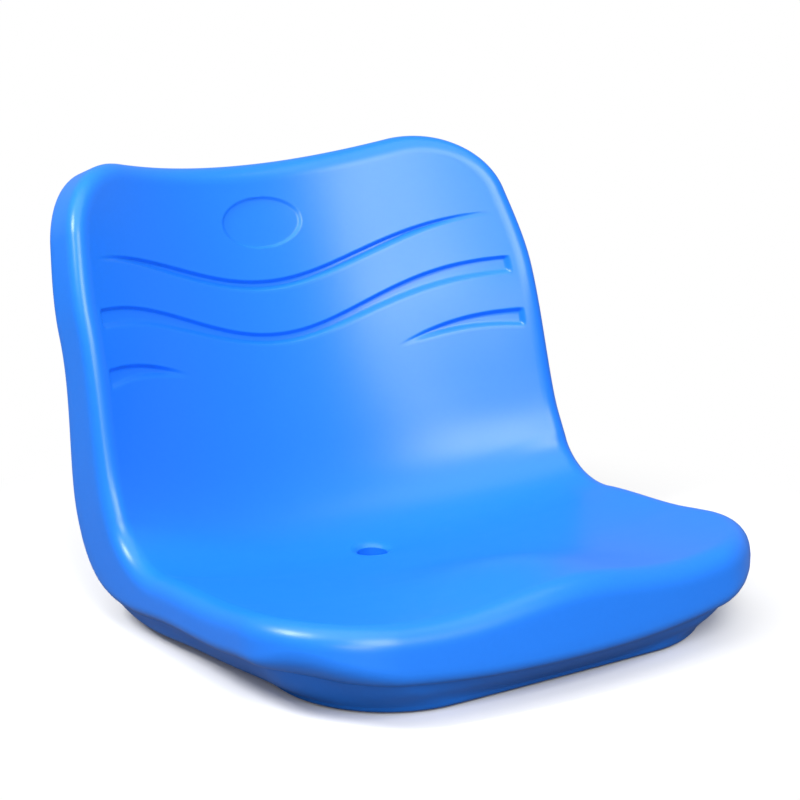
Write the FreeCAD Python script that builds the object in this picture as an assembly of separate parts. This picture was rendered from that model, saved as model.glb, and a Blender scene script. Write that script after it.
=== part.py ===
import FreeCAD, Part
import math
import os

# Stadium seat: a hollow double-walled shell with a dished pan, a fold and a concave backrest inside one
# thick rounded rim, on a low base that holds four threaded inserts and the plug of the blowing hole.
# Millimetres and degrees. X runs to the right seen from the front, Y to the back, Z up from the floor.
# A place on the seating surface is given as u across the seat, v along its middle line from the front
# crest back and up, and a height above the middle line, square to it.

Vector = FreeCAD.Vector

# Middle line of the seating surface, from the front crest back and up
PAN_LENGTH = 196.0
FOLD_LENGTH = 178.0
BACK_LENGTH = 232.0
PAN_FRONT_SLOPE = -10.0
PAN_REAR_SLOPE = -7.0
BACK_LOW_SLOPE = 64.5
BACK_TOP_SLOPE = 71.0
FRONT_CREST_HEIGHT = 62.0

# Width over the rim, at the front, the pan, the fold, the back and the top
FRONT_WIDTH = 428.0
PAN_WIDTH = 428.0
FOLD_WIDTH = 428.0
BACK_WIDTH = 419.0
TOP_WIDTH = 386.0

# Outline of the rim
FRONT_CORNER_RADIUS = 73.0
TOP_CORNER_RADIUS = 68.0
FRONT_BOW = 28.0
TOP_DIP = 13.0

# Rise of the side rims above the middle line
FRONT_RISE = 19.0
PAN_RISE = 22.0
PAN_REAR_RISE = 28.0
FOLD_RISE = 59.0
BACK_RISE = 80.0
TOP_RISE = 73.0
RISE_POWER = 2.1
FRONT_RISE_POWER = 2.4

# Swelling between the legs: its height over the middle line at the front, and its climb along the line
POMMEL_HEIGHT = 17.0
POMMEL_CLIMB = 0.11
POMMEL_SPREAD = 78.0
POMMEL_LENGTH = 190.0

# Rim round, flank and lower round, square to the seating surface
RIM_RADIUS = 17.0
LIP_RADIUS = 8.5
FLANK_DRAFT = 1.0
FRONT_FLANK = 38.5
PAN_FLANK = 34.0
PAN_REAR_FLANK = 38.0
FOLD_FLANK = 70.0
BACK_FLANK = 57.0
TOP_FLANK = 52.0

# Rear skin: its depth below the middle line, and its step below the lip's lower edge
PAN_HOLLOW = 46.0
FOLD_HOLLOW = 40.0
BACK_HOLLOW = 46.0
TOP_HOLLOW = 54.0
PAN_STEP = 13.0
FOLD_STEP = 5.0
BACK_STEP = 5.0
STEP_LENGTH = 13.0
BASE_BLEND = 30.0

# Base plinth, with its flat foot on the floor
BASE_WIDTH = 350.0
BASE_FRONT = -2.5
BASE_REAR = 288.0
BASE_FRONT_RADIUS = 85.0
BASE_REAR_RADIUS = 50.0
BASE_BOW = 2.0
FOOT_HEIGHT = 5.0
FOOT_ROUND = 8.0

# Moulded wall
WALL = 3.2

# Drain through the pan
DRAIN_RADIUS = 12.0
DRAIN_PLACE = 238.0
DRAIN_DISH_RADIUS = 17.0
DRAIN_DISH_DEPTH = 1.6

# Wave grooves across the backrest
GROOVE_DEPTH = 3.0
GROOVE_UPPER_SLANT = 0.3
GROOVE_LOWER_SLANT = 0.8
GROOVE_RUN_OUT = 0.4
TOP_GROOVE_RISE = 27.0
MIDDLE_GROOVE_RISE = 31.0
SIDE_GROOVE_RISE = 34.0
GROOVE_WAVE_LENGTH = 312.0
TOP_GROOVE_PLACE = 494.0
MIDDLE_GROOVE_PLACE = 450.0
SIDE_GROOVE_PLACE = 401.0
TOP_GROOVE_REACH = 182.0
MIDDLE_GROOVE_REACH = 188.0
SIDE_GROOVE_REACH = 191.0
SIDE_GROOVE_START = 94.0
TOP_GROOVE_WIDTH = 8.0
MIDDLE_GROOVE_WIDTH = 9.0
GROOVE_END_WIDTH = 15.0
GROOVE_POINT_WIDTH = 3.8

# Oval recess near the top of the backrest
OVAL_PLACE = 542.0
OVAL_WIDTH = 72.0
OVAL_HEIGHT = 41.0
OVAL_DEPTH = 1.2

# Threaded inserts in the base, on a rectangle
INSERT_SPACING_X = 260.0
INSERT_SPACING_Y = 150.0
INSERT_ROW_PLACE = 60.0
INSERT_LENGTH = 15.0
INSERT_FLATS = 14.0
INSERT_FLANGE_RADIUS = 9.0
INSERT_FLANGE_THICKNESS = 2.0
INSERT_NECK_RADIUS = 5.6
INSERT_NECK_WIDTH = 3.0
INSERT_RECESS = 0.3
INSERT_GAP = 0.05
THREAD_RADIUS = 3.4
THREAD_DEPTH = 12.0
THREAD_LEAD_IN = 0.8

# Plug of the blowing hole, in the underside of the base
PLUG_PLACE = 128.0
PLUG_RADIUS = 3.8
PLUG_LENGTH = 6.5
PLUG_BARB = 0.7
PLUG_TIP_RADIUS = 2.8
PLUG_HEAD_RADIUS = 7.0
PLUG_HEAD_THICKNESS = 1.0
PLUG_GAP = 0.2
PLUG_RECESS = 1.4

# Tack cones that tie the underside to the pan
TACK_SPACING_X = 110.0
TACK_SPACING_Y = 90.0
TACK_ROW_PLACE = 78.0
TACK_FOOT_RADIUS = 15.0
TACK_TIP_RADIUS = 7.0

# Points of the skin: rings from the drain to the foot, and columns on half the outline
TOP_RINGS = 20
RIM_RINGS = 6
FLANK_RINGS = 3
LIP_RINGS = 4
UNDER_RINGS = 16
EDGE_COLUMNS = 7
CORNER_COLUMNS = 8
SIDE_COLUMNS = 21
CAP_RADIUS = 8.0
LINE_STEP = 2.0
SECTION_STEP = 12.0

# How far a cutter runs past the face that it cuts
PAST = 2.0

FOLD_START = PAN_LENGTH
BACK_START = PAN_LENGTH + FOLD_LENGTH
SURFACE_LENGTH = PAN_LENGTH + FOLD_LENGTH + BACK_LENGTH
FOLD_MIDDLE = PAN_LENGTH + 0.6 * FOLD_LENGTH
BACK_MIDDLE = BACK_START + 0.4 * BACK_LENGTH


def ease(t):
    """Smooth step from 0 to 1."""
    t = min(max(t, 0.0), 1.0)
    return t * t * t * (t * (6 * t - 15) + 10)


def between(v, stations):
    """Smooth value at v through (place, value) stations."""
    if v <= stations[0][0]:
        return stations[0][1]
    for (start, first), (end, last) in zip(stations, stations[1:]):
        if v <= end:
            t = (v - start) / (end - start)
            return first + (last - first) * t * t * (3 - 2 * t)
    return stations[-1][1]


def mix(first, last, t):
    """Value between first and last."""
    return first + (last - first) * t


# Sizes that change along the middle line

def heading(v):
    """Slope of the middle line, in radians."""
    slope = mix(PAN_FRONT_SLOPE, PAN_REAR_SLOPE, ease(v / PAN_LENGTH))
    slope += (BACK_LOW_SLOPE - PAN_REAR_SLOPE) * ease((v - FOLD_START) / FOLD_LENGTH)
    slope += (BACK_TOP_SLOPE - BACK_LOW_SLOPE) * min(max((v - BACK_START) / BACK_LENGTH, 0.0), 1.2)
    return math.radians(slope)


def half_width(v):
    """Half the width over the rim."""
    return 0.5 * between(v, [(0.0, FRONT_WIDTH), (0.5 * PAN_LENGTH, PAN_WIDTH), (FOLD_MIDDLE, FOLD_WIDTH),
                             (BACK_MIDDLE, BACK_WIDTH), (SURFACE_LENGTH, TOP_WIDTH)])


def side_rise(v):
    """Rise of the side rim above the middle line."""
    return between(v, [(0.0, FRONT_RISE), (0.5 * PAN_LENGTH, PAN_RISE), (PAN_LENGTH, PAN_REAR_RISE),
                       (FOLD_MIDDLE, FOLD_RISE), (BACK_MIDDLE, BACK_RISE), (SURFACE_LENGTH, TOP_RISE)])


def pommel(u, v):
    """Height of the swelling between the legs."""
    height = POMMEL_HEIGHT + POMMEL_CLIMB * v
    return height * math.exp(-(u / POMMEL_SPREAD) ** 2) * (1 - ease(v / POMMEL_LENGTH))


def flank_depth(u, v):
    """Depth of the flank from the rim's crest to the lip's lower edge, which stays level under the swelling."""
    depth = between(v, [(0.0, FRONT_FLANK), (0.45 * PAN_LENGTH, PAN_FLANK), (PAN_LENGTH, PAN_REAR_FLANK),
                        (FOLD_MIDDLE, FOLD_FLANK), (BACK_MIDDLE, BACK_FLANK), (SURFACE_LENGTH, TOP_FLANK)])
    return depth + pommel(u, v)


def rear_depth(v):
    """Depth of the rear skin below the middle line."""
    return between(v, [(0.0, PAN_HOLLOW), (FOLD_MIDDLE, FOLD_HOLLOW), (BACK_MIDDLE, BACK_HOLLOW),
                       (SURFACE_LENGTH, TOP_HOLLOW)])


def rear_step(v):
    """Step from the lip's lower edge down to the rear skin."""
    return between(v, [(0.0, PAN_STEP), (PAN_LENGTH, PAN_STEP), (FOLD_MIDDLE, FOLD_STEP),
                       (BACK_MIDDLE, BACK_STEP)])


def rise(u, v):
    """Height of the seating surface above the middle line."""
    power = mix(RISE_POWER, FRONT_RISE_POWER, 1 - ease(v / PAN_LENGTH))
    return side_rise(v) * (abs(u) / half_width(v)) ** power + pommel(u, v)


def rear_height(u, v):
    """Height of the rear skin, which runs from below the lip to its full depth in the middle."""
    share = min(abs(u) / half_width(v), 1.0) ** RISE_POWER
    return mix(-rear_depth(v), side_rise(v) - flank_depth(half_width(v), v) - rear_step(v), share)


# The middle line, summed from its slope in short steps

def lay_middle_line(first, last):
    """Points of the middle line from the place first to the place last, by equal steps."""
    count = int(math.ceil((last - first) / LINE_STEP))
    points = [(0.0, 0.0)]
    for k in range(count):
        slope = heading(first + (k + 0.5) * LINE_STEP)
        y, z = points[-1]
        points.append((y + LINE_STEP * math.cos(slope), z + LINE_STEP * math.sin(slope)))
    return points


LINE_START = -30 * LINE_STEP
LINE_POINTS = lay_middle_line(LINE_START, SURFACE_LENGTH + 30 * LINE_STEP)


def line_point(v):
    """Place in Y and Z of the middle line, with the front crest at Y 0."""
    def raw(place):
        """Place measured from the line's own start."""
        k = min(max(int((place - LINE_START) / LINE_STEP), 0), len(LINE_POINTS) - 2)
        t = (place - LINE_START) / LINE_STEP - k
        return (mix(LINE_POINTS[k][0], LINE_POINTS[k + 1][0], t), mix(LINE_POINTS[k][1], LINE_POINTS[k + 1][1], t))
    crest = raw(0.0)
    y, z = raw(v)
    return y - crest[0], z - crest[1] + FRONT_CREST_HEIGHT


def place(u, v, height):
    """Point in space at the given height above the middle line."""
    y, z = line_point(v)
    slope = heading(v)
    return Vector(u, y - math.sin(slope) * height, z + math.cos(slope) * height)


def surface_point(u, v, above=0.0):
    """Point on the seating surface, or above it."""
    return place(u, v, rise(u, v) + above)


def unplace(y, z):
    """Place along the middle line, and height above it, of a point below the pan."""
    v = y
    for _ in range(12):
        line_y, line_z = line_point(v)
        slope = heading(v)
        v += 0.7 * ((y - line_y) * math.cos(slope) + (z - line_z) * math.sin(slope))
    line_y, line_z = line_point(v)
    slope = heading(v)
    return v, -(y - line_y) * math.sin(slope) + (z - line_z) * math.cos(slope)


# Outlines: half of each runs from the middle of the front round to the middle of the back

def half_outline(width_at, front_at, rear_at, front_radius, rear_radius):
    """Points (u, v) of a rounded outline with a bowed front and rear edge."""
    points = []
    front_reach = width_at(0.0) - front_radius
    for k in range(EDGE_COLUMNS):
        u = front_reach * k / EDGE_COLUMNS
        points.append((u, front_at(u)))
    for k in range(CORNER_COLUMNS):
        turn = 0.5 * math.pi * k / CORNER_COLUMNS
        v = front_at(front_reach + front_radius * math.sin(turn)) + front_radius * (1 - math.cos(turn))
        points.append((width_at(v) - front_radius * (1 - math.sin(turn)), v))
    start = front_at(width_at(0.0)) + front_radius
    rear_width = width_at(rear_at(0.0))
    end = rear_at(rear_width) - rear_radius
    for k in range(SIDE_COLUMNS):
        v = mix(start, end, k / SIDE_COLUMNS)
        points.append((width_at(v), v))
    for k in range(CORNER_COLUMNS):
        turn = 0.5 * math.pi * k / CORNER_COLUMNS
        v = rear_at(rear_width - rear_radius * (1 - math.cos(turn))) - rear_radius * (1 - math.sin(turn))
        points.append((width_at(v) - rear_radius * (1 - math.cos(turn)), v))
    for k in range(EDGE_COLUMNS + 1):
        u = (rear_width - rear_radius) * (1 - k / EDGE_COLUMNS)
        points.append((u, rear_at(u)))
    return points


def whole_outline(half):
    """Closed outline from its right half, anticlockwise from the middle of the front."""
    return half + [(-u, v) for u, v in half[-2:0:-1]]


def inward(outline):
    """Unit vectors that point into a closed outline."""
    count = len(outline)
    result = []
    for k in range(count):
        u0, v0 = outline[k - 1]
        u1, v1 = outline[(k + 1) % count]
        length = math.hypot(u1 - u0, v1 - v0)
        result.append(((v0 - v1) / length, (u1 - u0) / length))
    return result


def rim_outline():
    """Outline of the rim, at its widest."""
    half = 0.5 * TOP_WIDTH
    return whole_outline(half_outline(
        half_width,
        lambda u: -FRONT_BOW * (1 - (2 * u / FRONT_WIDTH) ** 2),
        lambda u: SURFACE_LENGTH - TOP_DIP * (1 - (u / half) ** 2),
        FRONT_CORNER_RADIUS, TOP_CORNER_RADIUS))


def base_outline(inset=0.0):
    """Outline of the base in X and Y, drawn in by an inset."""
    half = 0.5 * BASE_WIDTH - inset
    return whole_outline(half_outline(
        lambda v: half,
        lambda u: BASE_FRONT + inset - BASE_BOW * (1 - (2 * u / BASE_WIDTH) ** 2),
        lambda u: BASE_REAR - inset,
        BASE_FRONT_RADIUS - inset, BASE_REAR_RADIUS - inset))


# Rings of points that the skin runs through, from the drain over the rim to the foot

def seating_rings(outline, normals):
    """Rings on the seating surface, from a small flat circle at the drain to the rim."""
    centre = surface_point(0.0, DRAIN_PLACE)
    slope = heading(DRAIN_PLACE)
    along = Vector(0, math.cos(slope), math.sin(slope))
    rings = []
    for ring in range(TOP_RINGS + 1):
        t = ring / TOP_RINGS
        points = []
        for (u, v), (nu, nv) in zip(outline, normals):
            edge_u = u + nu * RIM_RADIUS
            edge_v = v + nv * RIM_RADIUS
            angle = math.atan2(edge_v - DRAIN_PLACE, edge_u)
            du = mix(CAP_RADIUS * math.cos(angle), edge_u, t)
            dv = mix(CAP_RADIUS * math.sin(angle), edge_v - DRAIN_PLACE, t)
            if ring == 0:
                points.append(centre + Vector(du, 0, 0) + along * dv)
            else:
                points.append(surface_point(du, DRAIN_PLACE + dv))
        rings.append(points)
    return rings


def rim_rings(outline, normals):
    """Rings round the rim, a quarter of a circle out and down."""
    rings = []
    for ring in range(1, RIM_RINGS + 1):
        turn = 0.5 * math.pi * ring / RIM_RINGS
        inset = RIM_RADIUS * (1 - math.sin(turn))
        drop = RIM_RADIUS * (1 - math.cos(turn))
        rings.append([surface_point(u + nu * inset, v + nv * inset, -drop)
                      for (u, v), (nu, nv) in zip(outline, normals)])
    return rings


def flank_rings(outline, normals):
    """Rings down the drafted flank and round its lower edge."""
    rings = []
    draft = math.tan(math.radians(FLANK_DRAFT))
    steps = [(k / FLANK_RINGS, 0.0) for k in range(1, FLANK_RINGS + 1)]
    steps += [(1.0, 0.5 * math.pi * k / LIP_RINGS) for k in range(1, LIP_RINGS + 1)]
    for share, turn in steps:
        points = []
        for (u, v), (nu, nv) in zip(outline, normals):
            straight = flank_depth(u, v) - LIP_RADIUS - RIM_RADIUS
            out = share * straight * draft - LIP_RADIUS * (1 - math.cos(turn))
            drop = RIM_RADIUS + share * straight + LIP_RADIUS * math.sin(turn)
            points.append(place(u - nu * out, v - nv * out, rise(u, v) - drop))
        rings.append(points)
    return rings


def under_rings(outline, normals):
    """Rings over the rear skin, from the lip's lower edge to the base."""
    draft = math.tan(math.radians(FLANK_DRAFT))
    lip = []
    for (u, v), (nu, nv) in zip(outline, normals):
        depth = flank_depth(u, v)
        out = (depth - LIP_RADIUS - RIM_RADIUS) * draft - LIP_RADIUS
        lip.append((u - nu * out, v - nv * out, rise(u, v) - depth))
    base = []
    for x, y in base_outline():
        v, height = unplace(y, FOOT_HEIGHT)
        base.append((x, v, height))
    rings = []
    for ring in range(1, UNDER_RINGS + 1):
        points = []
        for (lip_u, lip_v, lip_height), (base_u, base_v, base_height) in zip(lip, base):
            reach = math.hypot(base_u - lip_u, base_v - lip_v)
            spread = 1 + 1.2 * ease((reach - 30) / 300)
            t = (ring / UNDER_RINGS) ** spread
            u = mix(lip_u, base_u, t)
            v = mix(lip_v, base_v, t)
            sunk = 1 - math.exp(-(t * reach / STEP_LENGTH) ** 1.5)
            far = math.exp(-reach / BASE_BLEND)
            near = (math.exp(-(1 - t) * reach / BASE_BLEND) - far) / (1 - far)
            height = mix(mix(lip_height, rear_height(u, v), sunk), base_height, near)
            points.append(place(u, v, height))
        rings.append(points)
    return rings


def foot_rings():
    """Rings round the foot of the base, down to the floor."""
    rings = []
    for turn in (math.radians(45), math.radians(90)):
        inset = FOOT_ROUND * (1 - math.cos(turn))
        z = FOOT_HEIGHT * (1 - math.sin(turn))
        rings.append([Vector(x, y, z) for x, y in base_outline(inset)])
    return rings


def skin_rings():
    """All rings of the outer skin."""
    outline = rim_outline()
    normals = inward(outline)
    rings = seating_rings(outline, normals)
    rings += rim_rings(outline, normals)
    rings += flank_rings(outline, normals)
    rings += under_rings(outline, normals)
    rings += foot_rings()
    return rings


def inner_rings(rings, wall):
    """The rings moved into the body by the wall, square to the skin."""
    count = len(rings[0])
    slope = heading(DRAIN_PLACE)
    result = []
    for r, ring in enumerate(rings):
        moved = []
        for k, point in enumerate(ring):
            if r == 0:
                normal = Vector(0, -math.sin(slope), math.cos(slope))
            elif r == len(rings) - 1:
                normal = Vector(0, 0, -1)
            else:
                across = rings[r + 1][k] - rings[r - 1][k]
                around = ring[(k + 1) % count] - ring[k - 1]
                normal = across.cross(around)
                normal.normalize()
            moved.append(point - normal * wall)
        result.append(moved)
    return result


# Solids from rings

def spline_poles(rings):
    """Poles whose smooth surface runs through the rings' points to within a fraction of a millimetre."""
    count = len(rings[0])
    poles = []
    for r, ring in enumerate(rings):
        row = []
        for k, point in enumerate(ring):
            bend = ring[k - 1] + ring[(k + 1) % count] - point * 2
            if 0 < r < len(rings) - 1:
                bend += rings[r - 1][k] + rings[r + 1][k] - point * 2
            row.append(point - bend * (1 / 6))
        poles.append(row)
    return poles


def ring_solid(rings):
    """Closed solid with a smooth skin through the rings and a flat cap at each end, in left and right halves."""
    poles = spline_poles(rings)
    rows = len(poles)
    columns = len(poles[0])
    surface = Part.BSplineSurface()
    surface.buildFromPolesMultsKnots(
        poles,
        [4] + [1] * (rows - 4) + [4], [1] * (columns + 1),
        [float(k) for k in range(rows - 2)], [float(k) for k in range(columns + 1)],
        False, True, 3, 3)
    rim_end = TOP_RINGS + RIM_RINGS + FLANK_RINGS + LIP_RINGS - 1
    bands = [0, TOP_RINGS - 1, rim_end, rim_end + UNDER_RINGS, rows - 3]
    halves = [0, columns // 2, columns]
    faces = []
    for first, last in zip(bands, bands[1:]):
        for start, end in zip(halves, halves[1:]):
            patch = surface.copy()
            patch.segment(float(first), float(last), float(start), float(end))
            faces.append(patch.toShape())
    for ring in (bands[0], bands[-1]):
        edges = []
        for start, end in zip(halves, halves[1:]):
            curve = surface.uIso(float(ring))
            curve.segment(float(start), float(end))
            edges.append(curve.toShape())
        faces.append(Part.Face(Part.Wire(edges)))
    shell = Part.makeShell(faces)
    shell.sewShape()
    solid = Part.makeSolid(shell)
    if solid.Volume < 0:
        solid.reverse()
    return solid


def upright(radius, x, y, bottom, top):
    """Upright cylinder."""
    return Part.makeCylinder(radius, top - bottom, Vector(x, y, bottom))


# Cutters for the backrest

def groove_line(u, level, wave_rise):
    """Place of a groove's upper edge: a wave that dips at the middle of the backrest."""
    return level + 0.5 * wave_rise * (1 - math.cos(2 * math.pi * u / GROOVE_WAVE_LENGTH))


def groove_solid(level, wave_rise, first, last, width_at, depth_at, wall=0.0):
    """Channel along a wave, with a steep upper wall, a flat floor and a slanted lower wall."""
    sections = []
    count = max(6, int(abs(last - first) / SECTION_STEP))
    for k in range(count + 1):
        u = mix(first, last, k / count)
        v = groove_line(u, level, wave_rise)
        width = width_at(u)
        depth = depth_at(u)
        corners = [(-GROOVE_UPPER_SLANT * PAST - wall, PAST),
                   (GROOVE_UPPER_SLANT * depth - wall, -depth - wall),
                   (width - GROOVE_LOWER_SLANT * depth + wall, -depth - wall),
                   (width + GROOVE_LOWER_SLANT * PAST + wall, PAST)]
        points = [surface_point(u, v - across, above) for across, above in corners]
        sections.append(Part.makePolygon(points + points[:1]))
    return Part.makeLoft(sections, True, False)


def groove_widths(narrow, wide, reach):
    """Width that grows from the middle of a groove towards its ends."""
    return lambda u: mix(narrow, wide, ease(abs(u) / reach))


def top_groove(wall=0.0):
    """Long groove that runs out to nothing at both ends."""
    def width_at(u):
        """Narrow at the ends."""
        return mix(TOP_GROOVE_WIDTH, GROOVE_POINT_WIDTH, ease((abs(u) / TOP_GROOVE_REACH - 0.4) / 0.6))

    def depth_at(u):
        """Nothing at the ends."""
        return mix(GROOVE_DEPTH, -GROOVE_RUN_OUT, ease((abs(u) / TOP_GROOVE_REACH - 0.5) / 0.5))
    return groove_solid(TOP_GROOVE_PLACE, TOP_GROOVE_RISE, -TOP_GROOVE_REACH, TOP_GROOVE_REACH,
                        width_at, depth_at, wall)


def middle_groove(wall=0.0):
    """Long groove with square ends."""
    return groove_solid(MIDDLE_GROOVE_PLACE, MIDDLE_GROOVE_RISE,
                        -MIDDLE_GROOVE_REACH - wall, MIDDLE_GROOVE_REACH + wall,
                        groove_widths(MIDDLE_GROOVE_WIDTH, GROOVE_END_WIDTH, MIDDLE_GROOVE_REACH),
                        lambda u: GROOVE_DEPTH, wall)


def side_groove(side, wall=0.0):
    """Short groove from a point near the middle out to a square end."""
    reach = SIDE_GROOVE_REACH - SIDE_GROOVE_START

    def share(u):
        """Share of the way out along the groove."""
        return min(max((abs(u) - SIDE_GROOVE_START) / reach, 0.0), 1.0)
    return groove_solid(SIDE_GROOVE_PLACE, SIDE_GROOVE_RISE,
                        side * SIDE_GROOVE_START, side * (SIDE_GROOVE_REACH + wall),
                        lambda u: mix(GROOVE_POINT_WIDTH, GROOVE_END_WIDTH, share(u)),
                        lambda u: mix(-GROOVE_RUN_OUT, GROOVE_DEPTH, ease(2 * share(u))), wall)


def oval_recess(wall=0.0):
    """Shallow oval step with a flat floor."""
    centre = surface_point(0.0, OVAL_PLACE, -OVAL_DEPTH - wall)
    slope = heading(OVAL_PLACE)
    across = Vector(1, 0, 0)
    along = Vector(0, math.cos(slope), math.sin(slope))
    out = across.cross(along)
    ellipse = Part.Ellipse(Vector(0, 0, 0), 0.5 * OVAL_WIDTH + wall, 0.5 * OVAL_HEIGHT + wall)
    face = Part.Face(Part.Wire([ellipse.toShape()]))
    face.Placement = FreeCAD.Placement(centre, FreeCAD.Rotation(across, along, out))
    return face.extrude(out * (OVAL_DEPTH + wall + 2 * PAST))


# Places of the small parts in the base

def insert_places():
    """Names and places of the four threaded inserts."""
    return [(row + "_" + side, x, y)
            for row, y in (("front", INSERT_ROW_PLACE), ("rear", INSERT_ROW_PLACE + INSERT_SPACING_Y))
            for side, x in (("left", -0.5 * INSERT_SPACING_X), ("right", 0.5 * INSERT_SPACING_X))]


def tack_places():
    """Places of the tack cones."""
    return [(x, y)
            for y in (TACK_ROW_PLACE, TACK_ROW_PLACE + TACK_SPACING_Y)
            for x in (-0.5 * TACK_SPACING_X, 0.5 * TACK_SPACING_X)]


def pan_height(x, y):
    """Height of the seating surface above the floor, over a point of the base."""
    v = y
    for _ in range(12):
        v += 0.7 * (y - surface_point(x, v).y)
    return surface_point(x, v).z


def hexagon(flats, x, y, bottom, top):
    """Upright hexagonal prism."""
    radius = flats / math.sqrt(3)
    corners = [Vector(x + radius * math.cos(math.radians(60 * k)), y + radius * math.sin(math.radians(60 * k)), bottom)
               for k in range(7)]
    return Part.Face(Part.makePolygon(corners)).extrude(Vector(0, 0, top - bottom))


def insert_body(x, y, gap):
    """Outer form of an insert, grown by a gap where it is the pocket."""
    bottom = INSERT_RECESS
    top = bottom + INSERT_LENGTH
    body = hexagon(INSERT_FLATS + 2 * gap, x, y, bottom, top + gap)
    flange = upright(INSERT_FLANGE_RADIUS + gap, x, y, bottom, bottom + INSERT_FLANGE_THICKNESS + gap)
    return body.fuse(flange)


def threaded_insert(x, y):
    """Hexagonal steel insert with a flange, a neck that the plastic grips and a blind thread."""
    body = insert_body(x, y, 0.0)
    middle = INSERT_RECESS + 0.6 * INSERT_LENGTH
    neck = upright(INSERT_FLATS, x, y, middle, middle + INSERT_NECK_WIDTH)
    neck = neck.cut(upright(INSERT_NECK_RADIUS, x, y, middle, middle + INSERT_NECK_WIDTH))
    hole = upright(THREAD_RADIUS, x, y, INSERT_RECESS, INSERT_RECESS + THREAD_DEPTH)
    lead_in = Part.makeCone(THREAD_RADIUS + THREAD_LEAD_IN, THREAD_RADIUS, THREAD_LEAD_IN,
                            Vector(x, y, INSERT_RECESS))
    return body.cut(neck).cut(hole).cut(lead_in)


def insert_pocket(x, y):
    """Room in the boss for an insert, with the plastic standing in its neck."""
    pocket = insert_body(x, y, INSERT_GAP)
    middle = INSERT_RECESS + 0.6 * INSERT_LENGTH + INSERT_GAP
    top = middle + INSERT_NECK_WIDTH - 2 * INSERT_GAP
    ring = upright(INSERT_FLATS, x, y, middle, top).cut(upright(INSERT_NECK_RADIUS + INSERT_GAP, x, y, middle, top))
    mouth = upright(INSERT_FLANGE_RADIUS + INSERT_GAP, x, y, -PAST, INSERT_RECESS + INSERT_GAP)
    return pocket.cut(ring).fuse(mouth)


def blow_hole_plug():
    """Pressed-in plug with a flat head and a barbed shank."""
    bottom = PLUG_RECESS - PLUG_HEAD_THICKNESS
    head = upright(PLUG_HEAD_RADIUS, 0, PLUG_PLACE, bottom, PLUG_RECESS)
    barb_start = WALL + PLUG_GAP
    shank = upright(PLUG_RADIUS, 0, PLUG_PLACE, PLUG_RECESS, barb_start)
    barb = Part.makeCone(PLUG_RADIUS + PLUG_BARB, PLUG_TIP_RADIUS, PLUG_RECESS + PLUG_LENGTH - barb_start,
                         Vector(0, PLUG_PLACE, barb_start))
    return head.fuse(shank).fuse(barb)


# The shell

def drain_cylinder(radius):
    """Upright cylinder that runs right through the seat at the drain."""
    centre = surface_point(0.0, DRAIN_PLACE)
    return upright(radius, centre.x, centre.y, -PAST, centre.z + radius)


def drain_dish():
    """Cone that cuts the shallow dish round the drain."""
    centre = surface_point(0.0, DRAIN_PLACE)
    return Part.makeCone(DRAIN_RADIUS, 2 * DRAIN_DISH_RADIUS - DRAIN_RADIUS, 2 * DRAIN_DISH_DEPTH,
                         centre - Vector(0, 0, DRAIN_DISH_DEPTH))


def hollow():
    """Space inside the shell, with the posts that cross it left solid."""
    space = ring_solid(inner_rings(skin_rings(), WALL))
    posts = [drain_cylinder(DRAIN_RADIUS + WALL)]
    for name, x, insert_y in insert_places():
        posts.append(upright(INSERT_FLANGE_RADIUS + WALL, x, insert_y, -PAST, INSERT_RECESS + INSERT_LENGTH + WALL))
    for x, tack_y in tack_places():
        height = pan_height(x, tack_y) - WALL
        posts.append(Part.makeCone(TACK_FOOT_RADIUS + WALL, TACK_TIP_RADIUS + WALL, height + WALL,
                                   Vector(x, tack_y, 0.0)))
    posts += [top_groove(WALL), middle_groove(WALL), side_groove(-1, WALL), side_groove(1, WALL), oval_recess(WALL)]
    return space.cut(posts)


def seat_shell():
    """The moulded seat: outer skin less the hollow, the drain, the grooves and the pockets in the base."""
    body = ring_solid(skin_rings()).cut(hollow())
    cuts = [drain_cylinder(DRAIN_RADIUS), drain_dish()]
    for name, x, y in insert_places():
        cuts.append(insert_pocket(x, y))
    for x, y in tack_places():
        cuts.append(Part.makeCone(TACK_FOOT_RADIUS, TACK_TIP_RADIUS, pan_height(x, y) - 2 * WALL,
                                  Vector(x, y, 0.0)))
    cuts.append(upright(PLUG_HEAD_RADIUS + PLUG_GAP, 0, PLUG_PLACE, -PAST, PLUG_RECESS))
    cuts.append(upright(PLUG_RADIUS + PLUG_GAP, 0, PLUG_PLACE, -PAST, WALL + PAST))
    cuts += [top_groove(), middle_groove(), side_groove(-1), side_groove(1), oval_recess()]
    return body.cut(cuts).Solids[0]


def depth_centre():
    """Middle of the seat's depth in Y, which becomes the origin."""
    places = [point.y for ring in skin_rings() for point in ring]
    return 0.5 * (min(places) + max(places))


def export(shape, name, shift):
    """Write one piece, moved so that the origin lies on the floor under the seat's middle."""
    moved = shape.copy()
    moved.translate(Vector(0, -shift, 0))
    moved.exportStep("parts/" + name + ".step")


def main():
    """Write every piece of the seat."""
    os.makedirs("parts", exist_ok=True)
    shift = depth_centre()
    export(seat_shell(), "seat_shell", shift)
    for name, x, y in insert_places():
        export(threaded_insert(x, y), "insert_" + name, shift)
    export(blow_hole_plug(), "blow_hole_plug", shift)


main()
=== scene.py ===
import math
import bpy
import numpy as np
from mathutils import Matrix, Vector


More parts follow.
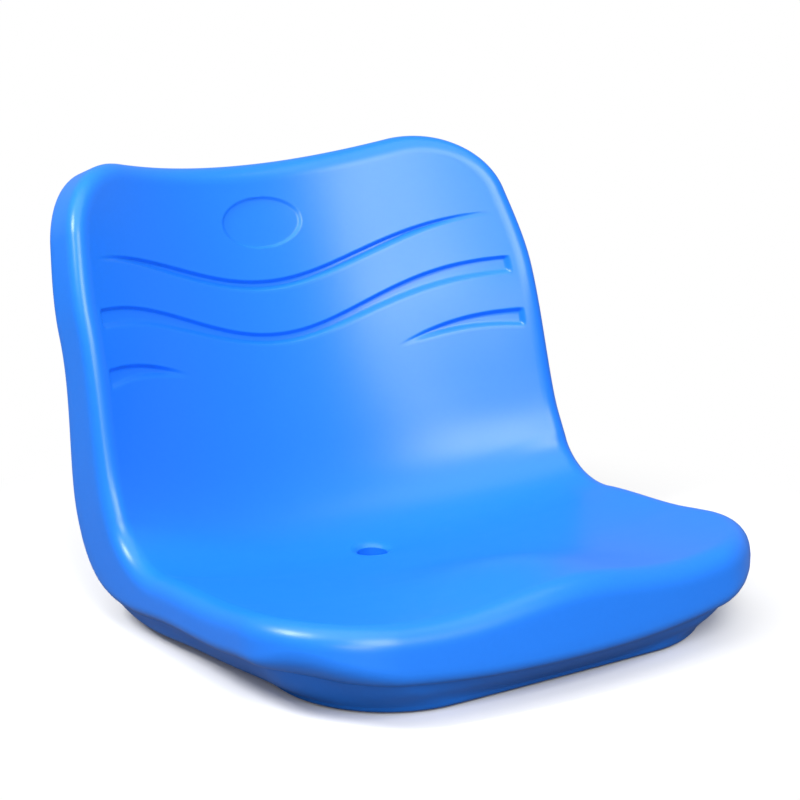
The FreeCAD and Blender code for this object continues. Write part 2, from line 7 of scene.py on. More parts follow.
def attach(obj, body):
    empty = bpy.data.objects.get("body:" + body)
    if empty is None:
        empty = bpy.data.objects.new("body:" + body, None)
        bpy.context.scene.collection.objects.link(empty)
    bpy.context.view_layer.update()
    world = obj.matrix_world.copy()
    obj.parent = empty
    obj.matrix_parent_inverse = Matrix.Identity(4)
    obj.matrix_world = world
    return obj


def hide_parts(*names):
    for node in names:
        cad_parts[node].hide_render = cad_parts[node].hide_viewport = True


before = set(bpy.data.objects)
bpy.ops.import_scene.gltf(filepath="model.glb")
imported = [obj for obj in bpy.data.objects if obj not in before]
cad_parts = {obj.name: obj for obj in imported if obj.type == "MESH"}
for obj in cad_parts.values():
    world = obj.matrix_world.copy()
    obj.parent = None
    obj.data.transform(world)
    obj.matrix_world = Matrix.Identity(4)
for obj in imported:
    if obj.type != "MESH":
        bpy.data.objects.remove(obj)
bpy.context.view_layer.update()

# Sizes of the seat in metres and degrees. A place on the seating surface is given as u across the seat and
# v along its middle line, from the front crest back and up.
SEAT = {
    "pan length": 0.196, "fold length": 0.178, "back length": 0.232,
    "pan front slope": -10.0, "pan rear slope": -7.0, "back low slope": 64.5, "back top slope": 71.0,
    "front crest height": 0.062,
    "front width": 0.428, "pan width": 0.428, "fold width": 0.428, "back width": 0.419, "top width": 0.386,
    "front rise": 0.019, "pan rise": 0.022, "pan rear rise": 0.028,
    "fold rise": 0.060, "back rise": 0.082, "top rise": 0.073,
    "rise power": 2.1, "front rise power": 2.4, "fold climb": 0.0038, "fold spread": 0.030,
    "pommel height": 0.017, "pommel climb": 0.11, "pommel spread": 0.078, "pommel length": 0.190,
    "rim radius": 0.017, "roll share": 0.14,
    "lip radius": 0.0085, "corner roll": 0.011, "flank draft": 0.01746,
    "front flank": 0.041, "pan flank": 0.036, "pan rear flank": 0.036,
    "fold flank": 0.070, "back flank": 0.057, "top flank": 0.052,
    "pan hollow": 0.046, "fold hollow": 0.040, "back hollow": 0.046, "top hollow": 0.054,
    "pan step": 0.013, "fold step": 0.005, "back step": 0.005, "step length": 0.013, "base blend": 0.030,
    "foot height": 0.005, "foot round": 0.008,
    "wave length": 0.312, "groove depth": 0.0036, "groove point width": 0.0038, "groove end width": 0.015,
    "top groove place": 0.494, "top groove rise": 0.027,
    "top groove reach": 0.190, "top groove width": 0.008,
    "middle groove place": 0.450, "middle groove rise": 0.031,
    "middle groove reach": 0.188, "middle groove width": 0.009,
    "side groove place": 0.401, "side groove rise": 0.034,
    "side groove reach": 0.191, "side groove start": 0.094,
    "oval place": 0.542, "oval width": 0.072, "oval height": 0.041, "oval depth": 0.0016,
    "drain place": 0.238, "drain radius": 0.012, "drain dish radius": 0.018, "drain dish depth": 0.0016,
    "drain edge width": 0.0025, "drain edge depth": 0.0014,
    "insert spacing x": 0.260, "insert spacing y": 0.150,
    "mouth radius": 0.0091, "mouth depth": 0.0024, "pocket radius": 0.00822, "pocket depth": 0.0154,
    "recess radius": 0.0072, "recess depth": 0.0014, "plug hole radius": 0.0047, "plug hole depth": 0.0082,
    "tack spacing x": 0.110, "tack spacing y": 0.090, "tack foot radius": 0.015, "tack tip radius": 0.007,
}
DEPTH_CENTRE = 0.2151476
FRONT_CORNER_RADIUS = 0.073
TOP_CORNER_RADIUS = 0.068
FRONT_BOW = 0.028
TOP_DIP = 0.013
BASE_WIDTH = 0.350
BASE_FRONT = -0.0025
BASE_REAR = 0.288
BASE_FRONT_RADIUS = 0.085
BASE_REAR_RADIUS = 0.050
BASE_BOW = 0.002

# Share of the backrest's length over which the middle line keeps turning
BACK_TURN = 1.2

# Where a groove's walls start and end: below its line, past its width and past its reach. The oval's wall
# lies on both sides of its outline.
UPPER_WALL = (-0.0010, 0.0020)
LOWER_WALL = (-0.0050, 0.0008)
END_WALL = (-0.0012, 0.0010)
OVAL_WALL = (-0.0009, 0.0009)

# Shares of the top groove's reach at which it starts to narrow and to run out
NARROW_START = 0.4
RUN_OUT_START = 0.72

# How far a front corner has turned where its fuller lip starts and is complete, the distances to the base
# between which the underside's rings draw together, how strongly they do, and how steeply the step sinks
CORNER_TURN = (0.15, 0.7)
UNDER_REACH = (0.03, 0.33)
UNDER_PULL = 1.2
STEP_POWER = 1.5
SHARP_ANGLE = math.radians(44)

# Places of the cuts in the base, the heights below the floor from which they start, and the plastic left
# between a tack cone's tip and the seating surface
DRAIN_Y = 0.0204625
PLUG_Y = -0.0871476
INSERT_MIDDLE_Y = -0.0801476
TACK_MIDDLE_Y = -0.0921476
WIDE_CUT_START = -0.002
NARROW_CUT_START = -0.001
DRAIN_CUT_END = 0.040
TACK_TIP_PLASTIC = 0.0064

# How finely the middle line, the outlines and the pattern are divided. A whole outline is a share of 10: in
# each of its halves, the front edge, corner, side, top corner and rear edge count 1 each.
LINE_STEP = 0.002
LINE_START = -0.060
LINE_COUNT = 364
SOLVE_STEPS = 13
SOLVE_SHARE = 0.7
OUTLINE_SHARE = 10
SHARE_POINTS = 400
FRONT_SHARES = (-1.5, 1.5)
SIDE_SHARES = (1.5, 3.5)
REAR_SHARES = (3.5, 6.5)
GRID_STEPS = 8
COLUMN_STRETCHES = ((0.0, 0.1134, 27), (0.1134, 0.2394, 20), (0.24, 0.945, 39), (0.945, 1.0, 13))
DRAIN_BAND = 0.022
OVAL_BAND = 0.024
OVAL_ROW_BEND = 0.6
WALL_SHARES = np.linspace(0.0, 1.0, 9)
LEAST_FOOT = 0.0023
LEAST_EDGE = 0.0036
RIM_RINGS = 10
FLANK_RINGS = 4
LIP_RINGS = 6
UNDER_RINGS = 20
FOOT_RINGS = 4
ROUND_SIDES = 64
PATTERN_VECTORS = ("inward", "base place", "base inward")

# The camera, in degrees and metres, and the point on the seat that the lamps look at
CAMERA_AZIMUTH = -34.0
CAMERA_HEIGHT = 14.7
CAMERA_TARGET = Vector((0.0, 0.120 - DEPTH_CENTRE, 0.150))
CAMERA_DISTANCE = 1.598
CAMERA_RIGHT = -0.0429
CAMERA_UP = 0.0242
CAMERA_LENS = 99.0
SEAT_MIDDLE = Vector((0.0, 0.0, 0.12))

# The floor lies a hair below the base, so that the two never share a plane. The world's glow lights the
# seat, and its white is seen by the camera in full and in reflections by a share.
FLOOR_HEIGHT = -0.0004
FLOOR_HALF = 6.0
WORLD_GLOW = 0.25
REFLECTED_WHITE = 0.12


class Socket:
    """An output socket of a node tree that Python's operators work on."""

    def __init__(self, bench, socket):
        self.bench = bench
        self.socket = socket

    def maths(self, operation, *values):
        """Math node over these values."""
        return self.bench.add("ShaderNodeMath", {"operation": operation}, dict(enumerate(values)))

    def __add__(self, other):
        return self.maths("ADD", self, other)

    def __radd__(self, other):
        return self.maths("ADD", other, self)

    def __sub__(self, other):
        return self.maths("SUBTRACT", self, other)

    def __rsub__(self, other):
        return self.maths("SUBTRACT", other, self)

    def __mul__(self, other):
        return self.maths("MULTIPLY", self, other)

    def __rmul__(self, other):
        return self.maths("MULTIPLY", other, self)

    def __truediv__(self, other):
        return self.maths("DIVIDE", self, other)

    def __pow__(self, other):
        return self.maths("POWER", self, other)

    def __gt__(self, other):
        return self.maths("GREATER_THAN", self, other)

    def __abs__(self):
        return self.maths("ABSOLUTE", self)

    def __neg__(self):
        return self.maths("MULTIPLY", self, -1.0)

    def out(self, key):
        """Another output of the same node."""
        return Socket(self.bench, self.socket.node.outputs[key])

    def parts(self):
        """The three parts of a vector."""
        first = self.bench.add("ShaderNodeSeparateXYZ", {}, {0: self})
        return first, first.out(1), first.out(2)


class Bench:
    """A node tree, and the one way in which its nodes are added."""

    def __init__(self, tree):
        self.tree = tree

    def add(self, kind, settings=None, sockets=None, out=0):
        """Output of a new node; its settings come first, then the values or links of its sockets."""
        node = self.tree.nodes.new(kind)
        for name, value in (settings or {}).items():
            setattr(node, name, value)
        for name, value in (sockets or {}).items():
            for one in value if isinstance(value, list) else [value]:
                if isinstance(one, Socket):
                    self.tree.links.new(one.socket, node.inputs[name])
                else:
                    node.inputs[name].default_value = one
        return Socket(self, node.outputs[out]) if len(node.outputs) else node

    def vector(self, x, y, z):
        """Vector of three values."""
        return self.add("ShaderNodeCombineXYZ", {}, {0: x, 1: y, 2: z})

    def sum(self, first, second):
        """Sum of two vectors."""
        return self.add("ShaderNodeVectorMath", {"operation": "ADD"}, {0: first, 1: second})


# Steps and waves, for sockets of a tree and for arrays alike

def smooth(x, first, last):
    """Smooth step from 0 to 1 between two places."""
    if isinstance(x, Socket):
        return x.bench.add("ShaderNodeMapRange", {"interpolation_type": "SMOOTHSTEP"},
                           {"Value": x, "From Min": first, "From Max": last})
    t = np.clip((x - first) / (last - first), 0.0, 1.0)
    return t * t * (3 - 2 * t)


def ease(x, first, last):
    """Smoother step from 0 to 1 between two places."""
    if isinstance(x, Socket):
        return x.bench.add("ShaderNodeMapRange", {"interpolation_type": "SMOOTHERSTEP"},
                           {"Value": x, "From Min": first, "From Max": last})
    t = np.clip((x - first) / (last - first), 0.0, 1.0)
    return t * t * t * (t * (6 * t - 15) + 10)


def clamped(x):
    """Value held between 0 and 1."""
    if isinstance(x, Socket):
        return x.maths("MINIMUM", x.maths("MAXIMUM", x, 0.0), 1.0)
    return np.clip(x, 0.0, 1.0)


def cosine(angle):
    """Cosine of an angle."""
    return angle.maths("COSINE", angle) if isinstance(angle, Socket) else np.cos(angle)


def sine(angle):
    """Sine of an angle."""
    return angle.maths("SINE", angle) if isinstance(angle, Socket) else np.sin(angle)


def exponential(x):
    """Exponential of a value."""
    return x.maths("EXPONENT", x) if isinstance(x, Socket) else np.exp(x)


def mix(first, last, t):
    """Value between first and last."""
    return first + (last - first) * t


def between(v, stations):
    """Smooth value at v through (place, value) stations."""
    result = stations[0][1]
    for (start, first), (end, last) in zip(stations, stations[1:]):
        result = result + (last - first) * smooth(v, start, end)
    return result


# The rule that the seat's shape follows

def fold_middle(size):
    """Place of the middle of the fold."""
    return size["pan length"] + 0.6 * size["fold length"]


def back_start(size):
    """Place where the backrest starts."""
    return size["pan length"] + size["fold length"]


def back_middle(size):
    """Place of the fullest part of the backrest."""
    return back_start(size) + 0.4 * size["back length"]


def surface_length(size):
    """Length of the middle line."""
    return back_start(size) + size["back length"]


def half_width(v, size):
    """Half the width over the rim."""
    return 0.5 * between(v, [
        (0.0, size["front width"]), (0.5 * size["pan length"], size["pan width"]),
        (fold_middle(size), size["fold width"]), (back_middle(size), size["back width"]),
        (surface_length(size), size["top width"])])


def side_rise(v, size):
    """Rise of the side rim above the middle line, which keeps climbing through the middle of the fold."""
    level_rise = between(v, [
        (0.0, size["front rise"]), (0.5 * size["pan length"], size["pan rise"]),
        (size["pan length"], size["pan rear rise"]), (fold_middle(size), size["fold rise"]),
        (back_middle(size), size["back rise"]), (surface_length(size), size["top rise"])])
    past = (v - fold_middle(size)) / size["fold spread"]
    return level_rise + size["fold climb"] * past * exponential(-(past * past))


def heading(v, size):
    """Slope of the middle line, in radians."""
    slope = mix(size["pan front slope"], size["pan rear slope"], ease(v, 0.0, size["pan length"]))
    turn = size["back low slope"] - size["pan rear slope"]
    slope = slope + turn * ease(v, size["pan length"], back_start(size))
    climb = BACK_TURN * clamped((v - back_start(size)) / (BACK_TURN * size["back length"]))
    return (slope + (size["back top slope"] - size["back low slope"]) * climb) * math.radians(1.0)


def pommel(u, v, size):
    """Height of the swelling between the legs."""
    height = size["pommel height"] + size["pommel climb"] * v
    spread = u / size["pommel spread"]
    return height * exponential(-(spread * spread)) * (1 - ease(v, 0.0, size["pommel length"]))


def flank_depth(u, v, size):
    """Depth of the flank from the rim's crest to the lip's lower edge, level under the swelling."""
    depth = between(v, [
        (0.0, size["front flank"]), (0.45 * size["pan length"], size["pan flank"]),
        (size["pan length"], size["pan rear flank"]), (fold_middle(size), size["fold flank"]),
        (back_middle(size), size["back flank"]), (surface_length(size), size["top flank"])])
    return depth + pommel(u, v, size)


def rise(u, v, size):
    """Height of the seating surface above the middle line."""
    power = mix(size["rise power"], size["front rise power"], 1 - ease(v, 0.0, size["pan length"]))
    return side_rise(v, size) * (abs(u) / half_width(v, size)) ** power + pommel(u, v, size)


def rear_height(u, v, size):
    """Height of the rear skin above the middle line."""
    depth = between(v, [
        (0.0, size["pan hollow"]), (fold_middle(size), size["fold hollow"]),
        (back_middle(size), size["back hollow"]), (surface_length(size), size["top hollow"])])
    step = between(v, [
        (size["pan length"], size["pan step"]), (fold_middle(size), size["fold step"]),
        (back_middle(size), size["back step"])])
    width = half_width(v, size)
    share = clamped(abs(u) / width) ** size["rise power"]
    return mix(-depth, side_rise(v, size) - flank_depth(width, v, size) - step, share)


def groove_line(u, name, size):
    """Place of a groove's upper edge: a wave that dips at the middle of the backrest."""
    wave = 1 - cosine(u * (2 * math.pi) / size["wave length"])
    return size[name + " place"] + 0.5 * size[name + " rise"] * wave


def groove_width(u, name, size):
    """Width of a groove, which narrows to its points and widens to its square ends."""
    reach = size[name + " reach"]
    if name == "top groove":
        share = ease(abs(u), NARROW_START * reach, reach)
        return mix(size["top groove width"], size["groove point width"], share)
    if name == "middle groove":
        return mix(size["middle groove width"], size["groove end width"], ease(abs(u), 0.0, reach))
    start = size["side groove start"]
    share = clamped((abs(u) - start) / (reach - start))
    return mix(size["groove point width"], size["groove end width"], share)


def groove_relief(u, v, name, size):
    """Depth of a groove, with a steep upper wall, a flat floor and a slanted lower wall."""
    reach = size[name + " reach"]
    below = groove_line(u, name, size) - v
    past = below - groove_width(u, name, size)
    depth = size["groove depth"] * smooth(below, *UPPER_WALL) * (1 - smooth(past, *LOWER_WALL))
    if name == "top groove":
        return depth * (1 - ease(abs(u), RUN_OUT_START * reach, reach))
    depth = depth * (1 - smooth(abs(u) - reach, *END_WALL))
    if name == "side groove":
        start = size["side groove start"]
        depth = depth * ease(abs(u), start, 0.5 * (start + reach))
    return depth


def oval_relief(u, v, size):
    """Depth of the shallow oval near the top of the backrest, from the distance to its outline.

    Two small numbers keep the division sound at its centre, where reach and slope are both 0.
    """
    half_u = 0.5 * size["oval width"]
    half_v = 0.5 * size["oval height"]
    across = u / half_u
    along = (v - size["oval place"]) / half_v
    reach = (across * across + along * along) ** 0.5
    slope = ((across / half_u) ** 2.0 + (along / half_v) ** 2.0) ** 0.5
    inside = (1 - reach) * (reach + 0.001) / (slope + 0.03)
    return size["oval depth"] * smooth(inside, *OVAL_WALL)


def drain_relief(u, v, size):
    """Depth of the shallow dish and of the soft edge round the drain."""
    along = v - size["drain place"]
    reach = (u * u + along * along) ** 0.5
    dish = size["drain dish depth"] * (1 - smooth(reach, size["drain radius"], size["drain dish radius"]))
    edge = 1 - clamped((reach - size["drain radius"]) / size["drain edge width"])
    return dish + size["drain edge depth"] * edge * edge


def relief(u, v, size):
    """Depth of everything that is let into the seating surface."""
    total = oval_relief(u, v, size) + drain_relief(u, v, size)
    for name in ("top groove", "middle groove", "side groove"):
        total = total + groove_relief(u, v, name, size)
    return total


# The flat pattern of the skin, before it is moulded

def half_outline(share, width_at, front_at, rear_at, front_radius, rear_radius):
    """Right half of a rounded outline: front edge, corner, side, corner and rear edge, a share of 1 each."""
    front, corner, side, top_corner, rear = [np.clip(share - k, 0.0, 1.0) for k in range(5)]
    out = front_radius * np.sin(0.5 * np.pi * corner)
    front_u = (width_at(0.0) - front_radius) * front + out
    front_v = front_at(front_u) + front_radius * (1 - np.cos(0.5 * np.pi * corner))
    back = rear_radius * (1 - np.cos(0.5 * np.pi * top_corner))
    rear_width = width_at(rear_at(0.0))
    rear_u = rear_width - back - (rear_width - rear_radius) * rear
    start = front_at(width_at(0.0)) + front_radius
    rear_v = mix(start, rear_at(rear_width) - rear_radius, side) + rear_at(rear_u) - rear_at(rear_width)
    rear_v = rear_v + rear_radius * np.sin(0.5 * np.pi * top_corner)
    v = np.where(share < 2, front_v, rear_v)
    side_u = width_at(v) - front_radius + np.where(share < 2, out, front_radius) - back
    return np.stack([np.where(share < 1, front_u, np.where(share < 4, side_u, rear_u)), v], axis=1)


def closed_outline(*shape):
    """Closed outline, anticlockwise from the middle of the front, and unit vectors that point into it."""
    half = OUTLINE_SHARE // 2
    right = half_outline(np.linspace(0, half, half * SHARE_POINTS + 1), *shape)
    points = np.concatenate([right, right[-2:0:-1] * [-1, 1]])
    along = np.roll(points, -1, axis=0) - np.roll(points, 1, axis=0)
    along /= np.linalg.norm(along, axis=1)[:, None]
    return points, np.stack([-along[:, 1], along[:, 0]], axis=1)


def at_share(points, share):
    """Points of a closed outline at these shares."""
    place = np.mod(share, OUTLINE_SHARE) / OUTLINE_SHARE * len(points)
    first = place.astype(int) % len(points)
    return mix(points[first], points[(first + 1) % len(points)], (place - np.floor(place))[:, None])


def seat_outline():
    """Outline of the seat over its rim, and unit vectors that point into it."""
    half_front = 0.5 * SEAT["front width"]
    half_top = 0.5 * SEAT["top width"]
    return closed_outline(
        lambda v: half_width(v, SEAT),
        lambda u: -FRONT_BOW * (1 - (u / half_front) ** 2),
        lambda u: surface_length(SEAT) - TOP_DIP * (1 - (u / half_top) ** 2),
        FRONT_CORNER_RADIUS, TOP_CORNER_RADIUS)


def base_outline():
    """Outline of the base, and unit vectors that point into it."""
    half = 0.5 * BASE_WIDTH
    return closed_outline(
        lambda v: half + 0 * v,
        lambda u: BASE_FRONT - BASE_BOW * (1 - (u / half) ** 2),
        lambda u: BASE_REAR + 0 * u,
        BASE_FRONT_RADIUS, BASE_REAR_RADIUS)


def column_shares():
    """Shares of the half width at which the columns lie, close together near the drain and the rim."""
    parts = [np.linspace(first, last, count, endpoint=False) for first, last, count in COLUMN_STRETCHES]
    half = np.concatenate(parts + [[1.0]])
    return np.concatenate([-half[:0:-1], half])


def groove_rows(name):
    """Rows that follow one groove, as places for each u."""
    def row(part, share):
        """Row at a share of the groove's lower wall, floor or upper wall."""
        def place(u):
            """Place of the row at u."""
            width = groove_width(u, name, SEAT)
            foot = np.maximum(width + LOWER_WALL[0], LEAST_FOOT)
            edge = np.maximum(width + LOWER_WALL[1], LEAST_EDGE)
            ends = {"lower wall": (edge, foot), "floor": (foot, UPPER_WALL[1]),
                    "upper wall": UPPER_WALL[::-1]}
            return groove_line(u, name, SEAT) - mix(*ends[part], share)
        return place
    rows = [row("lower wall", share) for share in (-0.4, *WALL_SHARES)]
    rows += [row("floor", share) for share in (0.33, 0.67)]
    return rows + [row("upper wall", share) for share in (*WALL_SHARES, 1.3)]


def level(v):
    """Row at one place."""
    return lambda u: v + 0 * u


def oval_row(u):
    """Row below the oval, which bends away from the top groove towards the sides."""
    bend = groove_line(u, "top groove", SEAT) - SEAT["top groove place"]
    return SEAT["oval place"] - OVAL_BAND + OVAL_ROW_BEND * bend


def row_stations(front, rear):
    """Leading rows of the pattern, each with the number of steps up to it from the one before."""
    drain = SEAT["drain place"]
    stations = [(front, 0), (level(drain - DRAIN_BAND), 40), (level(drain + DRAIN_BAND), 52)]
    for name, steps in (("side groove", 26), ("middle groove", 9), ("top groove", 8)):
        first, *rest = groove_rows(name)
        stations += [(first, steps)] + [(row, 1) for row in rest]
    return stations + [(oval_row, 6), (level(SEAT["oval place"] + OVAL_BAND), 52), (rear, 6)]


def middle_line():
    """Places and heights of the middle line at equal steps, with the front crest at place 0."""
    v = LINE_START + LINE_STEP * np.arange(LINE_COUNT + 1)
    slope = heading(v[:-1] + 0.5 * LINE_STEP, SEAT)
    y = np.concatenate([[0.0], np.cumsum(np.cos(slope)) * LINE_STEP])
    z = np.concatenate([[0.0], np.cumsum(np.sin(slope)) * LINE_STEP])
    return v, y - np.interp(0.0, v, y), z - np.interp(0.0, v, z) + SEAT["front crest height"]


def off_line(y, z):
    """Place along the middle line, and height above it, of points of the base."""
    line_v, line_y, line_z = middle_line()
    v = np.array(y, float)
    for _ in range(SOLVE_STEPS):
        slope = heading(v, SEAT)
        back = y - np.interp(v, line_v, line_y)
        up = z - np.interp(v, line_v, line_z)
        height = up * np.cos(slope) - back * np.sin(slope)
        v = v + SOLVE_SHARE * (back * np.cos(slope) + up * np.sin(slope))
    return v, height


def pan_height(x, y):
    """Height of the seating surface over a point of the floor."""
    line_v, line_y, line_z = middle_line()
    v = y + DEPTH_CENTRE
    for _ in range(SOLVE_STEPS):
        lean = np.sin(heading(v, SEAT)) * rise(x, v, SEAT)
        v = v + SOLVE_SHARE * (y + DEPTH_CENTRE - np.interp(v, line_v, line_y) + lean)
    return float(np.interp(v, line_v, line_z) + np.cos(heading(v, SEAT)) * rise(x, v, SEAT))


def stretch(outline, first, last, axis):
    """A stretch of a closed outline in rising order of one coordinate, with its shares."""
    share = np.linspace(first, last, int(round((last - first) * SHARE_POINTS)) + 1)
    points = at_share(outline, share)
    order = np.argsort(points[:, axis])
    return points[order, 0], points[order, 1], share[order]


def round_the_edge(grid):
    """Values at a grid's edge, anticlockwise from the middle of the front, in five stretches."""
    middle = grid.shape[1] // 2
    return grid[0, middle:-1], grid[:-1, -1], grid[-1, :0:-1], grid[:0:-1, 0], grid[0, :middle]


def seat_grid(outline):
    """Places of the grid that fills an outline, and the outline's shares at the grid's edge."""
    front_u, front_v, front_share = stretch(outline, *FRONT_SHARES, 0)
    side_u, side_v, side_share = stretch(outline, *SIDE_SHARES, 1)
    rear_u, rear_v, rear_share = stretch(outline, *REAR_SHARES, 0)
    stations = row_stations(lambda u: np.interp(u, front_u, front_v), lambda u: np.interp(u, rear_u, rear_v))
    rows = [(stations[0][0], stations[0][0], 0.0)]
    for (lower, _), (upper, steps) in zip(stations, stations[1:]):
        rows += [(lower, upper, (k + 1) / steps) for k in range(steps)]
    columns = column_shares()
    u = np.outer(np.full(len(rows), side_u.max()), columns)
    for _ in range(GRID_STEPS):
        v = np.array([mix(lower(x), upper(x), t) for (lower, upper, t), x in zip(rows, u)])
        u = columns * np.interp(v, side_v, side_u)
    edge_u = round_the_edge(u)
    edge_v = round_the_edge(v)
    shares = np.concatenate([
        np.interp(edge_u[0], front_u, front_share),
        np.interp(edge_v[1], side_v, side_share),
        np.interp(edge_u[2], rear_u, rear_share),
        OUTLINE_SHARE - np.interp(edge_v[3], side_v, side_share),
        OUTLINE_SHARE + np.interp(edge_u[4], front_u, front_share)])
    return u, v, shares


def flat_pattern():
    """Flat mesh of the whole skin: a grid for the seating surface, then rings out to the foot."""
    edge, edge_in = seat_outline()
    base, base_in = base_outline()
    u, v, shares = seat_grid(edge + edge_in * SEAT["rim radius"])
    grid = np.arange(u.size).reshape(u.shape)
    loop = np.concatenate(round_the_edge(grid))
    count = len(loop)
    base_points = at_share(base, shares)
    base_v, base_height = off_line(base_points[:, 1], SEAT["foot height"])
    ring_values = {
        "place": np.column_stack([at_share(edge, shares), np.zeros(count)]),
        "inward": np.column_stack([at_share(edge_in, shares), np.zeros(count)]),
        "base place": np.column_stack([base_points[:, 0], base_v, base_height]),
        "base inward": np.column_stack([at_share(base_in, shares), np.zeros(count)]),
    }
    rings = (RIM_RINGS, FLANK_RINGS, LIP_RINGS, UNDER_RINGS, FOOT_RINGS)
    bands = [start + (k + 1) / number for start, number in enumerate(rings) for k in range(number)]
    top = {name: np.zeros((u.size, 3)) for name in ring_values}
    top["place"] = np.column_stack([u.ravel(), v.ravel(), np.zeros(u.size)])
    values = {name: np.concatenate([top[name]] + [ring] * len(bands)) for name, ring in ring_values.items()}
    values["band"] = np.concatenate([np.zeros(u.size), np.repeat(bands, count)])

    quads = np.stack([grid[:-1, :-1], grid[:-1, 1:], grid[1:, 1:], grid[1:, :-1]], axis=-1)
    faces = [quads.reshape(-1, 4)]
    last = loop
    for k in range(len(bands)):
        ring = u.size + k * count + np.arange(count)
        faces.append(np.column_stack([last, ring, np.roll(ring, -1), np.roll(last, -1)]))
        last = ring
    underside = last[::-1].tolist()
    mesh = bpy.data.meshes.new("flat pattern")
    mesh.from_pydata(values["place"].tolist(), [], np.concatenate(faces).tolist() + [underside])
    for name in PATTERN_VECTORS:
        mesh.attributes.new(name, "FLOAT_VECTOR", "POINT").data.foreach_set("vector", values[name].ravel())
    mesh.attributes.new("band", "FLOAT", "POINT").data.foreach_set("value", values["band"])
    return mesh


# The mould, which bends the flat pattern into the seat

def lay_line(bench, size):
    """Curve of the middle line, whose length is the place along it."""
    points = bench.add("GeometryNodeMeshLine", {"mode": "OFFSET"},
                       {"Count": LINE_COUNT, "Offset": (0.0, 0.0, 0.0)})
    slope = heading((bench.add("GeometryNodeInputIndex") + 0.5) * LINE_STEP + LINE_START, size)
    step = bench.vector(0.0, cosine(slope) * LINE_STEP, sine(slope) * LINE_STEP)
    laid = bench.add("GeometryNodeAccumulateField", {"data_type": "FLOAT_VECTOR"}, {"Value": step},
                     out="Trailing")
    bent = bench.add("GeometryNodeSetPosition", {}, {"Geometry": points, "Position": laid})
    return bench.add("GeometryNodeMeshToCurve", {}, {"Mesh": bent})


def off_the_line(bench, size, line, u, v, height):
    """Point in space at a height above the middle line, square to it."""
    def on_line(place):
        """Point of the line at a place."""
        return bench.add("GeometryNodeSampleCurve", {"mode": "LENGTH"}, {"Curves": line, "Length": place},
                         out="Position")
    crest = on_line(-LINE_START).parts()
    point = on_line(v - LINE_START).parts()
    slope = heading(v, size)
    return bench.vector(u, point[1] - crest[1] - sine(slope) * height - DEPTH_CENTRE,
                        point[2] - crest[2] + cosine(slope) * height + size["front crest height"])


def moulded(bench, size, pattern):
    """The flat pattern bent into the outer skin of the seat."""
    def attribute(name, kind="FLOAT_VECTOR"):
        """Attribute of the pattern."""
        return bench.add("GeometryNodeInputNamedAttribute", {"data_type": kind}, {"Name": name},
                         out="Attribute")
    edge_u, edge_v, _ = bench.add("GeometryNodeInputPosition").parts()
    inward_u, inward_v, _ = attribute("inward").parts()
    base_u, base_v, base_height = attribute("base place").parts()
    foot_x, foot_y, _ = attribute("base inward").parts()
    band = attribute("band", "FLOAT")
    rim, flank, lip, under, foot = [clamped(band - float(k)) for k in range(5)]
    quarter = 0.5 * math.pi

    inset = size["rim radius"] * (1 - sine(rim * quarter))
    u = edge_u + inward_u * inset
    v = edge_v + inward_v * inset
    depth = flank_depth(u, v, size)
    corner = 2 * inward_u * inward_u * smooth(inward_v, *CORNER_TURN)
    lip_radius = size["lip radius"] + size["corner roll"] * corner
    side_share = size["roll share"] * inward_u * inward_u * (1 - corner)
    roll = size["rim radius"] + side_share * (depth - lip_radius - size["rim radius"])
    straight = depth - lip_radius - roll
    drop = roll * (1 - cosine(rim * quarter)) + flank * straight + lip_radius * sine(lip * quarter)
    height = rise(u, v, size) - relief(u, v, size) - drop
    inset = lip_radius * (1 - cosine(lip * quarter)) - flank * straight * size["flank draft"]
    u = u + inward_u * inset
    v = v + inward_v * inset

    reach = ((base_u - u) ** 2.0 + (base_v - v) ** 2.0) ** 0.5
    share = under ** (1 + UNDER_PULL * ease(reach, *UNDER_REACH))
    sunk = 1 - exponential(-((share * reach / size["step length"]) ** STEP_POWER))
    far = exponential(-reach / size["base blend"])
    near = (exponential(-((1 - share) * reach) / size["base blend"]) - far) / (1 - far)
    u = mix(u, base_u, share)
    v = mix(v, base_v, share)
    height = mix(mix(height, rear_height(u, v, size), sunk), base_height, near)

    line = lay_line(bench, size)
    inset = size["foot round"] * (1 - cosine(foot * quarter))
    foot_step = bench.vector(foot_x * inset, foot_y * inset, -(size["foot height"] * sine(foot * quarter)))
    point = bench.sum(off_the_line(bench, size, line, u, v, height), foot_step)
    return bench.add("GeometryNodeSetPosition", {}, {"Geometry": pattern, "Position": point})


def cylinder(bench, radius, y, bottom, top, sides=ROUND_SIDES):
    """Upright cylinder on the middle of the seat."""
    mesh = bench.add("GeometryNodeMeshCylinder", {},
                     {"Vertices": sides, "Radius": radius, "Depth": top - bottom})
    middle = bench.vector(0.0, y, 0.5 * (bottom + top))
    return bench.add("GeometryNodeTransform", {}, {"Geometry": mesh, "Translation": middle})


def at_four(bench, mesh, spacing_x, spacing_y, y, scale=(1.0, 1.0, 1.0)):
    """A mesh at the four corners of a rectangle."""
    corners = bench.add("GeometryNodeMeshGrid", {}, {"Size X": spacing_x, "Size Y": spacing_y,
                                                     "Vertices X": 2, "Vertices Y": 2})
    corners = bench.add("GeometryNodeTransform", {}, {"Geometry": corners, "Translation": (0.0, y, 0.0)})
    placed = bench.add("GeometryNodeInstanceOnPoints", {},
                       {"Points": corners, "Instance": mesh, "Scale": scale})
    return bench.add("GeometryNodeRealizeInstances", {}, {"Geometry": placed})


